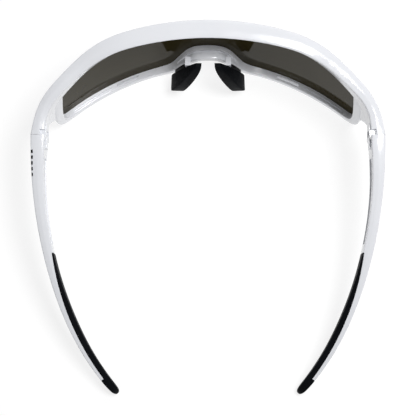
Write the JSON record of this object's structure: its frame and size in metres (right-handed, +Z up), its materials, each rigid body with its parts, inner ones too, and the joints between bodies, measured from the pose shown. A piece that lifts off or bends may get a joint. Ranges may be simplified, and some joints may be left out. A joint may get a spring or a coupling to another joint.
{
  "type": "wraparound sport sunglasses",
  "caption": "Wraparound sport sunglasses: a one-piece shield lens in a white full frame, with folding temples, rubber grips and nose pads.",
  "frame": {"origin": "middle of the bounding box's bottom: on the table, in the plane of symmetry, half way between the brow and the temple tips", "axes": "+Z up as the glasses stand open on the lower rim and the temple tips, -Y the way the wearer looks, +X to the wearer's left"},
  "size_m": [0.1498, 0.155, 0.0568],
  "materials": {
    "frame_plastic": "glossy white moulded nylon",
    "lens_tint": "dark olive tinted polycarbonate, polished, with a mirror coat on the front",
    "soft_rubber": "fine matt",
    "clip_plastic": "black moulded nylon",
    "steel": "turned stainless steel",
    "brass": "turned brass"
  },
  "bodies": {
    "front": {"front_frame": "frame_plastic", "lens": "lens_tint", "nose_pad_left": "soft_rubber", "nose_pad_right": "soft_rubber", "nose_pad_clip_left": "clip_plastic", "nose_pad_clip_right": "clip_plastic", "hinge_screw_left": "steel", "hinge_screw_right": "steel", "hinge_insert_left": "brass", "hinge_insert_right": "brass", "hinge_washer_lower_left": "steel", "hinge_washer_lower_right": "steel", "hinge_washer_upper_left": "steel", "hinge_washer_upper_right": "steel"},
    "left_temple": {"temple_left": "frame_plastic", "temple_grip_left": "soft_rubber", "hinge_bush_left": "brass"},
    "right_temple": {"temple_right": "frame_plastic", "temple_grip_right": "soft_rubber", "hinge_bush_right": "brass"}
  },
  "joints": [
    {"name": "left_hinge", "type": "hinge", "parent": "front", "child": "left_temple", "pos_m": [0.0709, -0.031, 0.0383], "axis": [0, 0, 1], "range_deg": [0, 84]},
    {"name": "right_hinge", "type": "hinge", "parent": "front", "child": "right_temple", "pos_m": [-0.0709, -0.031, 0.0383], "axis": [0, 0, -1], "range_deg": [0, 72]}
  ]
}
